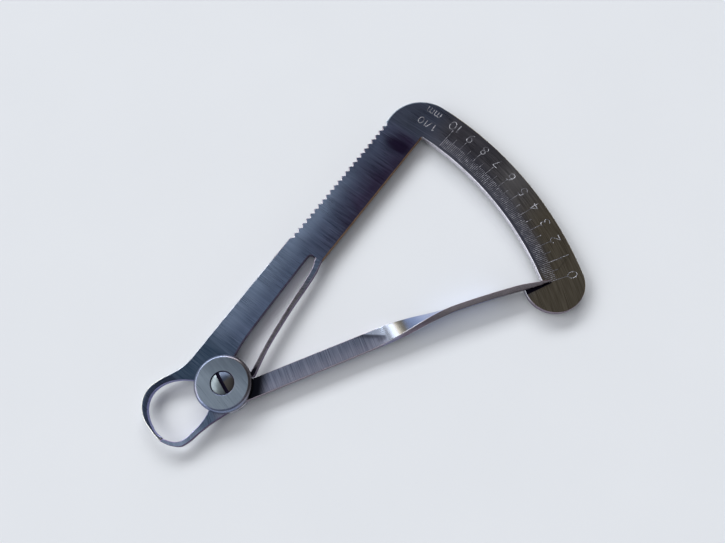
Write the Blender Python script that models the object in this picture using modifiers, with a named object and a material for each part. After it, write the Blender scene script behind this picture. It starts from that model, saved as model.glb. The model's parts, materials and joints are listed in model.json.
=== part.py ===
"""Outside caliper with a graduated arc: a sprung thickness gauge made of flat sheet steel.

A frame plate carries the bar, the arc and the upper jaw. A pointer lever with the lower jaw turns
on a shouldered nut, and a leaf spring pushes its arm so that the jaws close.
The pivot axis is +Z through the origin, on the back face of the rear nut. +X runs along the bar
and the graduated front faces +Z. Lengths are in metres and angles in degrees.
"""
import math

import bmesh
import bpy
from mathutils import Matrix, Vector

# Sheet, clearances and the smoothness of round outlines
SHEET_THICKNESS = 0.0015
CLEARANCE = 0.0003
JAW_GAP = 0.00025
OVERRUN = 0.001
CHORD_ERROR = 0.000006
MERGE_DISTANCE = 0.000001
CURVE_STEPS = 5

# Measuring range: the jaws open by CAPACITY while the pointer sweeps the scale
CAPACITY = 0.010
SWEEP_DEGREES = 32.0
ZERO_DEGREES = -35.5
CONTACT_DEGREES = 169.3

# Bar, with gripping teeth cut in its outer edge
BAR_EDGE = 0.0101
BAR_EDGE_DRAFT = 0.0002
BAR_WIDTH = 0.0098
TOOTH_NOTCHES = 25
TOOTH_PITCH = 0.001567
TOOTH_DEPTH = 0.00075
TEETH_PLATEAU = 0.0022

# Graduated arc, its rounded corner and the foot whose step stops the pointer at zero
ARC_OUTER_RADIUS = 0.0876
ARC_WIDTH = 0.0099
CORNER_RADIUS = 0.0096
INNER_CORNER_RADIUS = 0.0005
FOOT_RADIUS = 0.0073

# Engraved scale
SCALE_UNITS = 10
DIVISIONS = 10
TICK_WIDTH = 0.00014
TICK_DEPTH = 0.00012
TICK_MARGIN = 0.0008
FINE_TICK_LENGTH = 0.0026
HALF_TICK_LENGTH = 0.0041
UNIT_TICK_LENGTH = 0.0055

# Slot between the bar and the leaf spring
SLOT_END = 0.0364
SLOT_END_RADIUS = 0.001
SLOT_DEPTH = 0.0034
SLOT_TAPER = 0.0013
SLOT_TAPER_LENGTH = 0.0145

# Leaf spring
LEAF_WAIST_WIDTH = 0.0009
LEAF_TIP_RADIUS = 0.0006
LEAF_TIP_GAP = 0.00043
LEAF_TIP_REACH = 0.0068
LEAF_WAIST_SHARE = 0.74
LEAF_TAPER_POWER = 1.5

# Pointer arm, its twist and its upright blade
ARM_WIDTH = 0.0042
ARM_DEGREES = -30.75
ARM_OFFSET = 0.0034
TWIST_LENGTH = 0.0210
TWIST_DEGREES = 82.0
TWIST_EASE_SHARE = 0.35
BLADE_RISE_LENGTH = 0.0080
BLADE_END_LENGTH = 0.0166
BLADE_LIFT = 0.0009
BLADE_STEPS = 36
BLADE_END_STEPS = 5
BLADE_THICKNESS = 0.00135
BLADE_HEIGHT = 0.0040
BLADE_END_HEIGHT = 0.0030
TIP_TAPER_LENGTH = 0.0045
TIP_ROOT_THICKNESS = 0.00085
TIP_REACH = 0.0019
TIP_HEIGHT = 0.0004
TIP_WIDTH = 0.00025

# Jaws
JAW_TIP_WIDTH = 0.0008

# Pivot: lapped eyes, rear nut with its barrel, front disc and slotted screw
EYE_RADIUS = 0.0044
BARREL_RADIUS = 0.0026
DISC_OVERLAP = 0.0022
DISC_THICKNESS = 0.0017
DISC_EDGE_RADIUS = 0.0009
HEAD_RECESS_DEPTH = 0.0011
NUT_INSET = 0.0002
NUT_THICKNESS = 0.0012
NUT_CHAMFER = 0.0003
NUT_FLOOR = 0.0006
HEAD_RADIUS = 0.0026
HEAD_RISE = 0.0004
SHANK_RADIUS = 0.0014
SLOT_WIDTH = 0.0007
SLOT_CUT_DEPTH = 0.0007
SCREW_SLOT_DEGREES = 68.0
DISC_STEPS = 48
SCREW_STEPS = 36

# Outer and inner edges of the jaws, as shares of the contact radius
UPPER_JAW_OUTER_SHARES = ((-0.145, 0.565), (-0.270, 0.611), (-0.425, 0.683), (-0.580, 0.728),
                          (-0.728, 0.708), (-0.850, 0.626), (-0.937, 0.490), (-0.986, 0.309))
UPPER_JAW_INNER_SHARES = ((-0.955, 0.309), (-0.886, 0.470), (-0.787, 0.581), (-0.661, 0.638),
                          (-0.529, 0.634), (-0.391, 0.570), (-0.270, 0.452), (-0.176, 0.309))
LOWER_JAW_OUTER_SHARES = ((-0.976, 0.060), (-0.915, -0.050), (-0.842, -0.093), (-0.760, -0.118),
                          (-0.660, -0.135), (-0.567, -0.158), (-0.473, -0.181), (-0.275, -0.251))
LOWER_JAW_INNER_SHARES = ((-0.359, -0.055), (-0.445, -0.075), (-0.567, -0.079), (-0.673, -0.066),
                          (-0.775, -0.052), (-0.872, -0.004), (-0.928, 0.075))
# Bends of the leaf spring, as shares of its length along and across the line from root to tip
LEAF_BEND_SHARES = ((0.09, -0.010), (0.22, -0.006), (0.38, 0.005), (0.55, 0.012), (0.78, 0.014))

# Derived sizes
CONTACT_RADIUS = CAPACITY / (2 * math.sin(math.radians(SWEEP_DEGREES / 2)))
BAR_INNER_EDGE = BAR_EDGE - BAR_WIDTH
SLOT_EDGE = BAR_INNER_EDGE + SLOT_DEPTH
LEAF_ROOT_WIDTH = SLOT_DEPTH - 2 * SLOT_END_RADIUS
ARC_INNER_RADIUS = ARC_OUTER_RADIUS - ARC_WIDTH
LAP_RADIUS = EYE_RADIUS + CLEARANCE
DISC_RADIUS = EYE_RADIUS + DISC_OVERLAP
NUT_RADIUS = DISC_RADIUS - NUT_INSET
BORE_RADIUS = BARREL_RADIUS + CLEARANCE
SHANK_HOLE_RADIUS = SHANK_RADIUS + CLEARANCE
HEAD_HOLE_RADIUS = HEAD_RADIUS + CLEARANCE
SHEET_BACK = NUT_THICKNESS + CLEARANCE
SHEET_FRONT = SHEET_BACK + SHEET_THICKNESS
SHEET_MIDDLE = SHEET_BACK + SHEET_THICKNESS / 2
DISC_BACK = SHEET_FRONT + CLEARANCE
DISC_FRONT = DISC_BACK + DISC_THICKNESS
RECESS_FLOOR = DISC_FRONT - HEAD_RECESS_DEPTH
HEAD_BACK = RECESS_FLOOR + CLEARANCE
LEAN = 1 / math.tan(math.radians(TWIST_DEGREES))
TIP_RADIUS = ARC_INNER_RADIUS + TIP_REACH
STEP_RADIUS = ARC_INNER_RADIUS - CLEARANCE
BLADE_CREST_RADIUS = TIP_RADIUS - BLADE_END_LENGTH
TWIST_START = BLADE_CREST_RADIUS - BLADE_RISE_LENGTH - TWIST_LENGTH

COLOURS = {
    "frame_plate": (0.30, 0.31, 0.35),
    "leaf_spring": (0.26, 0.26, 0.29),
    "pointer_lever": (0.33, 0.33, 0.37),
    "front_disc": (0.45, 0.47, 0.50),
    "rear_nut": (0.42, 0.43, 0.46),
    "pivot_screw": (0.62, 0.65, 0.68),
}
ROUGHNESS = {"front_disc": 0.34, "rear_nut": 0.34, "pivot_screw": 0.16}
SHEET_ROUGHNESS = 0.38


def direction(degrees):
    """Unit vector in the plate at an angle from +X."""
    return Vector((math.cos(math.radians(degrees)), math.sin(math.radians(degrees))))


def arc(centre, radius, start, end):
    """Points on an arc, its ends included, fine enough for the allowed chord error."""
    step = 2 * math.degrees(math.acos(1 - CHORD_ERROR / radius))
    count = max(2, math.ceil(abs(end - start) / step))
    return [centre + radius * direction(start + (end - start) * i / count)
            for i in range(count + 1)]


def smooth(points):
    """Points on a smooth curve through the given ones, ends included."""
    points = [Vector(point) for point in points]
    padded = [2 * points[0] - points[1], *points, 2 * points[-1] - points[-2]]
    result = []
    for a, b, c, d in zip(padded, padded[1:], padded[2:], padded[3:]):
        for i in range(CURVE_STEPS):
            t = i / CURVE_STEPS
            result.append(0.5 * (2 * b + (c - a) * t + (2 * a - 5 * b + 4 * c - d) * t ** 2
                                 + (3 * b - a - 3 * c + d) * t ** 3))
    return result + [points[-1]]


def scaled(shares, size):
    """Points given as shares of one size."""
    return [Vector(share) * size for share in shares]


def circle_crossing(radius, height):
    """Angle at which a horizontal line at a height leaves a circle round the pivot, at +X."""
    return math.degrees(math.asin(height / radius))


ARM_LINE = direction(ARM_DEGREES)
ARM_NORMAL = direction(ARM_DEGREES + 90)
ARM_UPPER_OFFSET = ARM_WIDTH / 2 - ARM_OFFSET
ARM_LOWER_OFFSET = -ARM_WIDTH / 2 - ARM_OFFSET


def on_arm(along, across):
    """Point by its distance along the pointer arm and across it, both from the pivot."""
    return along * ARM_LINE + across * ARM_NORMAL


def jaw_face(side, inset):
    """Point on a jaw's contact face: side is +1 on the lower jaw, and inset runs to the inside."""
    turn = math.degrees(side * JAW_GAP / 2 / CONTACT_RADIUS)
    return (CONTACT_RADIUS - inset) * direction(CONTACT_DEGREES + turn)


def blade_lift(radius):
    """How far the blade stands above the ray to the zero line, from its crest out to its tip."""
    share = (radius - BLADE_CREST_RADIUS) / BLADE_END_LENGTH
    return BLADE_LIFT * (1 - share ** 3)


def blade_place(radius):
    """Point on the middle line of the blade beyond its crest, and its heading there."""
    share = (radius - BLADE_CREST_RADIUS) / BLADE_END_LENGTH
    slope = 3 * share ** 2 * BLADE_LIFT / BLADE_END_LENGTH
    place_on_plate = radius * direction(ZERO_DEGREES) + blade_lift(radius) * direction(ZERO_DEGREES + 90)
    return place_on_plate, ZERO_DEGREES - math.degrees(math.atan(slope))


def foot_place():
    """Centre of the round foot and the angle of its step, which the blade rests against."""
    foot_start = ARC_OUTER_RADIUS - 2 * FOOT_RADIUS
    drop = 0
    for radius, thickness in ((foot_start, BLADE_THICKNESS), (STEP_RADIUS, TIP_ROOT_THICKNESS)):
        flank = thickness / 2 + SHEET_THICKNESS / 2 * LEAN + CLEARANCE - blade_lift(radius)
        drop = max(drop, math.degrees(flank / radius))
    angle = ZERO_DEGREES - drop
    return (ARC_OUTER_RADIUS - FOOT_RADIUS) * direction(angle), angle


def tooth_points(end):
    """Notches along the outer edge, from the one nearest the corner back towards the pivot."""
    points = [Vector((end, BAR_EDGE))]
    for i in range(TOOTH_NOTCHES):
        right = end - i * TOOTH_PITCH
        points.append(Vector((right - TOOTH_PITCH / 2, BAR_EDGE - TOOTH_DEPTH)))
        points.append(Vector((right - TOOTH_PITCH, BAR_EDGE)))
    return points


def frame_outline():
    """Outline of the frame plate, anticlockwise from the root of the leaf spring."""
    inner_corner = ARC_INNER_RADIUS - INNER_CORNER_RADIUS
    inner_centre = Vector((math.sqrt(inner_corner ** 2 - (BAR_INNER_EDGE - INNER_CORNER_RADIUS) ** 2),
                           BAR_INNER_EDGE - INNER_CORNER_RADIUS))
    inner_tangent = math.degrees(math.atan2(inner_centre.y, inner_centre.x))
    foot_centre, foot_angle = foot_place()
    corner_y = BAR_EDGE - CORNER_RADIUS
    corner_centre = Vector((math.sqrt((ARC_OUTER_RADIUS - CORNER_RADIUS) ** 2 - corner_y ** 2), corner_y))
    corner_tangent = math.degrees(math.atan2(corner_centre.y, corner_centre.x))
    pivot = Vector((0, 0))

    points = [Vector((SLOT_END, BAR_INNER_EDGE))]
    points += arc(inner_centre, INNER_CORNER_RADIUS, 90, inner_tangent)
    points += arc(pivot, ARC_INNER_RADIUS, inner_tangent, foot_angle)[1:]
    points += arc(foot_centre, FOOT_RADIUS, foot_angle + 180, foot_angle + 360)
    points += arc(pivot, ARC_OUTER_RADIUS, foot_angle, corner_tangent)[1:]
    points += arc(corner_centre, CORNER_RADIUS, corner_tangent, 90)[1:]
    points += tooth_points(corner_centre.x - TEETH_PLATEAU)
    points.append(Vector((0, BAR_EDGE - BAR_EDGE_DRAFT)))
    outer = scaled(UPPER_JAW_OUTER_SHARES, CONTACT_RADIUS) + [jaw_face(-1, -JAW_TIP_WIDTH / 2)]
    points += smooth([points[-1], *outer])[1:]
    inner = [jaw_face(-1, JAW_TIP_WIDTH / 2)] + scaled(UPPER_JAW_INNER_SHARES, CONTACT_RADIUS)
    points += smooth(inner)
    root = math.degrees(math.atan2(inner[-1].y, inner[-1].x))
    slot_start = SLOT_EDGE - SLOT_TAPER
    points += arc(pivot, EYE_RADIUS, root, 360 + circle_crossing(EYE_RADIUS, slot_start))
    slot_centre = Vector((SLOT_END - SLOT_END_RADIUS, SLOT_EDGE - SLOT_END_RADIUS))
    points += smooth([Vector((DISC_RADIUS, slot_start)),
                      Vector((DISC_RADIUS + SLOT_TAPER_LENGTH / 3, SLOT_EDGE - SLOT_TAPER / 2)),
                      Vector((DISC_RADIUS + SLOT_TAPER_LENGTH, SLOT_EDGE - SLOT_TAPER / 4)),
                      Vector((slot_centre.x, SLOT_EDGE))])
    points += arc(slot_centre, SLOT_END_RADIUS, 90, 0)[1:]
    return points


def leaf_width(share):
    """Width of the leaf, drawn in from its root to a waist and wider again at its tip."""
    if share < LEAF_WAIST_SHARE:
        rest = 1 - share / LEAF_WAIST_SHARE
        return LEAF_WAIST_WIDTH + (LEAF_ROOT_WIDTH - LEAF_WAIST_WIDTH) * rest ** LEAF_TAPER_POWER
    rest = (share - LEAF_WAIST_SHARE) / (1 - LEAF_WAIST_SHARE)
    return LEAF_WAIST_WIDTH + (2 * LEAF_TIP_RADIUS - LEAF_WAIST_WIDTH) * rest ** 2


def leaf_root():
    """Middle of the leaf's root, about which it flexes."""
    return Vector((SLOT_END - CLEARANCE, BAR_INNER_EDGE + LEAF_ROOT_WIDTH / 2))


def leaf_outline():
    """Outline of the leaf spring, anticlockwise from the lower corner of its root."""
    root = leaf_root()
    across = ARM_UPPER_OFFSET + LEAF_TIP_GAP + LEAF_TIP_RADIUS
    tip = on_arm(math.sqrt(LEAF_TIP_REACH ** 2 - across ** 2), across)
    line = tip - root
    normal = Vector((line.y, -line.x))
    middle = smooth([root, *[root + a * line + b * normal for a, b in LEAF_BEND_SHARES], tip])
    upper, lower = [], []
    travelled = 0
    length = sum((b - a).length for a, b in zip(middle, middle[1:]))
    for before, point in zip(middle, middle[1:]):
        travelled += (point - before).length
        heading = (point - before).normalized()
        side = Vector((-heading.y, heading.x)) * leaf_width(travelled / length) / 2
        upper.append(point - side)
        lower.append(point + side)
    heading = math.degrees(math.atan2(line.y, line.x))
    slot_centre = Vector((SLOT_END - SLOT_END_RADIUS, SLOT_EDGE - SLOT_END_RADIUS))
    flare_end = -math.degrees(math.acos((root.x - slot_centre.x) / SLOT_END_RADIUS))
    flare = arc(slot_centre, SLOT_END_RADIUS, flare_end, -90)
    points = [Vector((root.x, BAR_INNER_EDGE))]
    points += flare
    points += [point for point in upper[:-1] if point.x < slot_centre.x - CLEARANCE]
    points += arc(tip, LEAF_TIP_RADIUS, heading - 90, heading + 90)
    points += lower[-2::-1]
    return points


def lever_outline():
    """Outline of the flat stretch of the lever, anticlockwise from its contact face."""
    inner_root = Vector(LOWER_JAW_INNER_SHARES[0])
    root = math.degrees(math.atan2(inner_root.y, inner_root.x)) + 360
    crossing = on_arm(math.sqrt(EYE_RADIUS ** 2 - ARM_UPPER_OFFSET ** 2), ARM_UPPER_OFFSET)
    start = math.degrees(math.atan2(crossing.y, crossing.x))
    inner = scaled(LOWER_JAW_INNER_SHARES, CONTACT_RADIUS) + [jaw_face(1, JAW_TIP_WIDTH / 2)]
    outer = [jaw_face(1, -JAW_TIP_WIDTH / 2)] + scaled(LOWER_JAW_OUTER_SHARES, CONTACT_RADIUS)
    under_disc = math.sqrt(DISC_RADIUS ** 2 - ARM_LOWER_OFFSET ** 2)
    points = smooth(outer)
    points.append(on_arm(under_disc, ARM_LOWER_OFFSET))
    points.append(on_arm(TWIST_START, ARM_LOWER_OFFSET))
    points.append(on_arm(TWIST_START, ARM_UPPER_OFFSET))
    points += arc(Vector((0, 0)), EYE_RADIUS, start, root)
    points += smooth(inner)
    return points


def bezier(a, b, c, d, t):
    """Point on a cubic curve from a to d with handles b and c."""
    return (1 - t) ** 3 * a + 3 * (1 - t) ** 2 * t * b + 3 * (1 - t) * t ** 2 * c + t ** 3 * d


def ease(t):
    """A share that starts and ends gently but runs evenly between."""
    return t - TWIST_EASE_SHARE * math.sin(2 * math.pi * t) / (2 * math.pi)


def blade_sections():
    """Sections of the pointer beyond its flat arm: middle, level, heading, twist, height, thickness."""
    start = on_arm(TWIST_START, -ARM_OFFSET)
    crest, crest_heading = blade_place(BLADE_CREST_RADIUS)
    handle = (crest - start).length / 3
    curve = (start, start + handle * ARM_LINE, crest - handle * direction(crest_heading), crest)
    twist_share = TWIST_LENGTH / (TWIST_LENGTH + BLADE_RISE_LENGTH)
    sections = []
    for i in range(BLADE_STEPS + 1):
        t = i / BLADE_STEPS
        twisted = min(1, t / twist_share)
        heading = ARM_DEGREES + (crest_heading - ARM_DEGREES) * t
        height = ARM_WIDTH + (BLADE_HEIGHT - ARM_WIDTH) * twisted
        thickness = SHEET_THICKNESS + (BLADE_THICKNESS - SHEET_THICKNESS) * twisted
        sections.append((bezier(*curve, t), SHEET_MIDDLE, heading, TWIST_DEGREES * ease(twisted),
                         height, thickness))
    taper_radius = STEP_RADIUS - TIP_TAPER_LENGTH
    notch_radius = STEP_RADIUS - CLEARANCE
    for i in range(1, BLADE_END_STEPS + 1):
        radius = BLADE_CREST_RADIUS + (taper_radius - BLADE_CREST_RADIUS) * i / BLADE_END_STEPS
        drop = (radius - BLADE_CREST_RADIUS) / (notch_radius - BLADE_CREST_RADIUS)
        height = BLADE_HEIGHT + (BLADE_END_HEIGHT - BLADE_HEIGHT) * drop
        sections.append((blade_place(radius)[0], SHEET_MIDDLE, blade_place(radius)[1], TWIST_DEGREES,
                         height, BLADE_THICKNESS))
    top = SHEET_MIDDLE + BLADE_END_HEIGHT / 2
    bottom = SHEET_FRONT + CLEARANCE
    for radius, level, height, thickness in (
            (notch_radius, SHEET_MIDDLE, BLADE_END_HEIGHT, TIP_ROOT_THICKNESS),
            (STEP_RADIUS, (top + bottom) / 2, top - bottom, TIP_ROOT_THICKNESS),
            (TIP_RADIUS, bottom + TIP_HEIGHT / 2, TIP_HEIGHT, TIP_WIDTH)):
        middle, heading = blade_place(radius)
        sections.append((middle, level, heading, TWIST_DEGREES, height, thickness))
    return sections


def section_corners(middle, level, heading, turn, height, thickness):
    """Corners of one section: lower back, lower front, upper front and upper back at no twist."""
    across = direction(heading + 90)
    cosine, sine = math.cos(math.radians(turn)), math.sin(math.radians(turn))
    corners = []
    for u, w in ((-1, -1), (-1, 1), (1, 1), (1, -1)):
        a, b = u * height / 2, w * thickness / 2
        flat = middle + across * (a * cosine + b * sine)
        corners.append(Vector((flat.x, flat.y, level - a * sine + b * cosine)))
    return corners


def add_blade(bm):
    """Grow the twisted blade out of the end wall of the arm, ring by ring."""
    rings = []
    for section in blade_sections():
        rings.append([bm.verts.new(corner) for corner in section_corners(*section)])
    middle = sum((vert.co for vert in rings[0]), Vector()) / len(rings[0])
    wall = [face for face in bm.faces if (face.calc_center_median() - middle).length < CLEARANCE]
    bmesh.ops.delete(bm, geom=wall, context="FACES_ONLY")
    for ring, following in zip(rings, rings[1:]):
        for i in range(len(ring)):
            j = (i + 1) % len(ring)
            bm.faces.new((ring[i], ring[j], following[j], following[i]))
    bm.faces.new(rings[-1])
    bmesh.ops.remove_doubles(bm, verts=bm.verts, dist=MERGE_DISTANCE)
    bmesh.ops.recalc_face_normals(bm, faces=bm.faces)


def material(name):
    """Bare steel for one piece."""
    result = bpy.data.materials.new(name)
    result.use_nodes = True
    shader = result.node_tree.nodes["Principled BSDF"]
    shader.inputs["Base Color"].default_value = (*COLOURS[name], 1)
    shader.inputs["Metallic"].default_value = 1
    shader.inputs["Roughness"].default_value = ROUGHNESS.get(name, SHEET_ROUGHNESS)
    return result


def collection(name):
    result = bpy.data.collections.new(name)
    bpy.context.scene.collection.children.link(result)
    return result


def place(name, mesh, group, origin=Vector((0, 0, 0))):
    """Put a piece in its collection, with its origin, its material and smooth round walls."""
    mesh.name = name
    mesh.transform(Matrix.Translation(-origin))
    piece = bpy.data.objects.new(name, mesh)
    piece.location = origin
    group.objects.link(piece)
    mesh.materials.clear()
    mesh.materials.append(material(name))
    mesh.shade_smooth()
    mesh.set_sharp_from_angle(angle=math.radians(35))
    return piece


def sheet_mesh(outline):
    """Closed mesh of a flat outline, as thick as the sheet and at the sheet's level."""
    curve = bpy.data.curves.new("outline", "CURVE")
    curve.dimensions = "2D"
    curve.fill_mode = "BOTH"
    curve.extrude = SHEET_THICKNESS / 2
    spline = curve.splines.new("POLY")
    spline.points.add(len(outline) - 1)
    for point, place_on_plate in zip(spline.points, outline):
        point.co = (*place_on_plate, 0, 1)
    spline.use_cyclic_u = True
    guide = bpy.data.objects.new("outline", curve)
    bpy.context.scene.collection.objects.link(guide)
    bpy.context.view_layer.update()
    mesh = bpy.data.meshes.new_from_object(guide.evaluated_get(bpy.context.evaluated_depsgraph_get()))
    bpy.data.objects.remove(guide)
    bm = bmesh.new()
    bm.from_mesh(mesh)
    bmesh.ops.remove_doubles(bm, verts=bm.verts, dist=MERGE_DISTANCE)
    bmesh.ops.translate(bm, verts=bm.verts, vec=(0, 0, SHEET_MIDDLE))
    bmesh.ops.recalc_face_normals(bm, faces=bm.faces)
    bm.to_mesh(mesh)
    bm.free()
    return mesh


def turned_mesh(profile, closed):
    """Mesh of a profile of (radius, height) points; a closed one is a ring round the axis."""
    bm = bmesh.new()
    verts = [bm.verts.new((radius, 0, height)) for radius, height in profile]
    for a, b in zip(verts, verts[1:]):
        bm.edges.new((a, b))
    if closed:
        bm.edges.new((verts[-1], verts[0]))
    mesh = bpy.data.meshes.new("profile")
    bm.to_mesh(mesh)
    bm.free()
    return mesh


def turn(piece, steps):
    """Turn a profile round the pivot axis."""
    screw = piece.modifiers.new("turn", "SCREW")
    screw.steps = steps
    screw.render_steps = steps
    screw.use_merge_vertices = True
    screw.merge_threshold = MERGE_DISTANCE


def cutter(name, mesh, group):
    """A body that only cuts others."""
    piece = bpy.data.objects.new(name, mesh)
    group.objects.link(piece)
    piece.display_type = "WIRE"
    piece.hide_render = True
    return piece


def cylinder(name, radius, bottom, top, group):
    bm = bmesh.new()
    bmesh.ops.create_cone(bm, cap_ends=True, segments=DISC_STEPS, radius1=radius, radius2=radius,
                          depth=top - bottom)
    bmesh.ops.translate(bm, verts=bm.verts, vec=(0, 0, (top + bottom) / 2))
    mesh = bpy.data.meshes.new(name)
    bm.to_mesh(mesh)
    bm.free()
    return cutter(name, mesh, group)


def cut(piece, tool):
    """Cut one body out of a piece."""
    boolean = piece.modifiers.new(tool.name, "BOOLEAN")
    boolean.operation = "DIFFERENCE"
    boolean.solver = "EXACT"
    boolean.object = tool


def tick_length(index):
    if index % DIVISIONS == 0:
        return UNIT_TICK_LENGTH
    if index * 2 % DIVISIONS == 0:
        return HALF_TICK_LENGTH
    return FINE_TICK_LENGTH


def scale_cutter(group):
    """All the engraved lines of the scale, as one set of thin boxes."""
    bm = bmesh.new()
    height = TICK_DEPTH + OVERRUN
    for index in range(SCALE_UNITS * DIVISIONS + 1):
        angle = ZERO_DEGREES + SWEEP_DEGREES * index / (SCALE_UNITS * DIVISIONS)
        length = tick_length(index)
        box = bmesh.ops.create_cube(bm, size=1)["verts"]
        bmesh.ops.scale(bm, verts=box, vec=(length, TICK_WIDTH, height))
        radius = ARC_INNER_RADIUS + TICK_MARGIN + length / 2
        bmesh.ops.translate(bm, verts=box, vec=(radius, 0, SHEET_FRONT - TICK_DEPTH + height / 2))
        bmesh.ops.rotate(bm, verts=box, cent=(0, 0, 0),
                         matrix=Matrix.Rotation(math.radians(angle), 3, "Z"))
    mesh = bpy.data.meshes.new("scale_cutter")
    bm.to_mesh(mesh)
    bm.free()
    return cutter("scale_cutter", mesh, group)


def make_frame_plate(group, cutters):
    plate = place("frame_plate", sheet_mesh(frame_outline()), group)
    eye_top = SHEET_MIDDLE - CLEARANCE / 2
    cut(plate, cylinder("frame_lap_cutter", LAP_RADIUS, eye_top, SHEET_FRONT + OVERRUN, cutters))
    cut(plate, cylinder("frame_bore_cutter", BORE_RADIUS, SHEET_BACK - OVERRUN, SHEET_FRONT + OVERRUN,
                        cutters))
    cut(plate, scale_cutter(cutters))


def make_leaf_spring(group):
    place("leaf_spring", sheet_mesh(leaf_outline()), group, Vector((*leaf_root(), SHEET_MIDDLE)))


def make_pointer_lever(group, cutters):
    mesh = sheet_mesh(lever_outline())
    bm = bmesh.new()
    bm.from_mesh(mesh)
    add_blade(bm)
    bm.to_mesh(mesh)
    bm.free()
    lever = place("pointer_lever", mesh, group)
    eye_bottom = SHEET_MIDDLE + CLEARANCE / 2
    cut(lever, cylinder("lever_lap_cutter", LAP_RADIUS, SHEET_BACK - OVERRUN, eye_bottom, cutters))
    cut(lever, cylinder("lever_bore_cutter", BORE_RADIUS, SHEET_BACK - OVERRUN, SHEET_FRONT + OVERRUN,
                        cutters))


def make_front_disc(group):
    edge = arc(Vector((DISC_RADIUS - DISC_EDGE_RADIUS, DISC_FRONT - DISC_EDGE_RADIUS)),
               DISC_EDGE_RADIUS, 90, 0)
    profile = [(HEAD_HOLE_RADIUS, DISC_FRONT), *edge, (DISC_RADIUS, DISC_BACK),
               (SHANK_HOLE_RADIUS, DISC_BACK), (SHANK_HOLE_RADIUS, RECESS_FLOOR),
               (HEAD_HOLE_RADIUS, RECESS_FLOOR)]
    turn(place("front_disc", turned_mesh(profile, True), group), DISC_STEPS)


def make_rear_nut(group):
    profile = [(0, NUT_FLOOR), (SHANK_HOLE_RADIUS, NUT_FLOOR), (SHANK_HOLE_RADIUS, SHEET_FRONT),
               (BARREL_RADIUS, SHEET_FRONT), (BARREL_RADIUS, NUT_THICKNESS),
               (NUT_RADIUS, NUT_THICKNESS), (NUT_RADIUS, NUT_CHAMFER),
               (NUT_RADIUS - NUT_CHAMFER, 0), (0, 0)]
    turn(place("rear_nut", turned_mesh(profile, False), group), DISC_STEPS)


def make_pivot_screw(group, cutters):
    dome_radius = (HEAD_RADIUS ** 2 + HEAD_RISE ** 2) / (2 * HEAD_RISE)
    half = math.degrees(math.asin(HEAD_RADIUS / dome_radius))
    dome = arc(Vector((0, DISC_FRONT + HEAD_RISE - dome_radius)), dome_radius, 90, 90 - half)
    dome[0].x = 0
    profile = [*dome, (HEAD_RADIUS, HEAD_BACK), (SHANK_RADIUS, HEAD_BACK),
               (SHANK_RADIUS, NUT_FLOOR + CLEARANCE), (0, NUT_FLOOR + CLEARANCE)]
    screw = place("pivot_screw", turned_mesh(profile, False), group)
    turn(screw, SCREW_STEPS)
    bm = bmesh.new()
    box = bmesh.ops.create_cube(bm, size=1)["verts"]
    height = SLOT_CUT_DEPTH + OVERRUN
    bmesh.ops.scale(bm, verts=box, vec=(2 * (HEAD_RADIUS + OVERRUN), SLOT_WIDTH, height))
    mesh = bpy.data.meshes.new("screw_slot_cutter")
    bm.to_mesh(mesh)
    bm.free()
    tool = cutter("screw_slot_cutter", mesh, cutters)
    tool.location = (0, 0, DISC_FRONT + HEAD_RISE - SLOT_CUT_DEPTH + height / 2)
    tool.rotation_euler = (0, 0, math.radians(SCREW_SLOT_DEGREES))
    cut(screw, tool)


def main():
    for old in list(bpy.data.objects):
        bpy.data.objects.remove(old)
    group = collection("outside_caliper")
    cutters = collection("cutters")
    make_frame_plate(group, cutters)
    make_leaf_spring(group)
    make_pointer_lever(group, cutters)
    make_front_disc(group)
    make_rear_nut(group)
    make_pivot_screw(group, cutters)


main()
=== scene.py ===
"""Looks of the outside caliper: ground sheet steel with bright deburred rims and an engraved scale.

Every piece dresses one CAD node, in metres and in the CAD's own frame: +X runs along the bar from
the pivot, +Y towards its toothed edge, +Z out of the graduated front. The sheet pieces are reworked
from their nodes' meshes, and the turned pieces and the twisted blade are built anew.
"""
import json
import math

import bmesh
import bpy
from mathutils import Matrix, Vector
from mathutils.bvhtree import BVHTree


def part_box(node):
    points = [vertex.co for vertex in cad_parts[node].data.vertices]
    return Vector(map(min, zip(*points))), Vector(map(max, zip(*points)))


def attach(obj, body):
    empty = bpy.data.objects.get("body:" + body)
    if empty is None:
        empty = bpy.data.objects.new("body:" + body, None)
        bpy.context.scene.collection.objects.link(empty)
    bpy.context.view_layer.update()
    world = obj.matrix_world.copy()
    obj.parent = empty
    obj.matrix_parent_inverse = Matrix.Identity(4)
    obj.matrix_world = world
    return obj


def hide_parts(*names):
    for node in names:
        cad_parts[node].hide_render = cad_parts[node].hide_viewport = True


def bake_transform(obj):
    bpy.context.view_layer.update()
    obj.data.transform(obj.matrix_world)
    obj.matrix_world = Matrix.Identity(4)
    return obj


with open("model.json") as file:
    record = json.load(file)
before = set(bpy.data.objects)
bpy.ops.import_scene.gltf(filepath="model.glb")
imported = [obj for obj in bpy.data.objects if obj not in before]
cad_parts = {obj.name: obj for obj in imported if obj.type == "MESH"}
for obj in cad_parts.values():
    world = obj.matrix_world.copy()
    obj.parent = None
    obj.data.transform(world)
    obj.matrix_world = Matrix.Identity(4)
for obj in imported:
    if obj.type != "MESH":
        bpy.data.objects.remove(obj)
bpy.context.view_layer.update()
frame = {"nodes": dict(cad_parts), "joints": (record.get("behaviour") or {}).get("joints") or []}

# Levels and sizes read from the frame
SHEET_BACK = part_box("frame_plate")[0].z
SHEET_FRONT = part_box("frame_plate")[1].z
SHEET_MIDDLE = (SHEET_BACK + SHEET_FRONT) / 2
DISC_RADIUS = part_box("front_disc")[1].x
DISC_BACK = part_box("front_disc")[0].z
DISC_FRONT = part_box("front_disc")[1].z
NUT_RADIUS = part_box("rear_nut")[1].x
LEAF_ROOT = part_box("leaf_spring")[1].x
HINGES = {joint["name"]: joint for joint in frame["joints"]}
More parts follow.
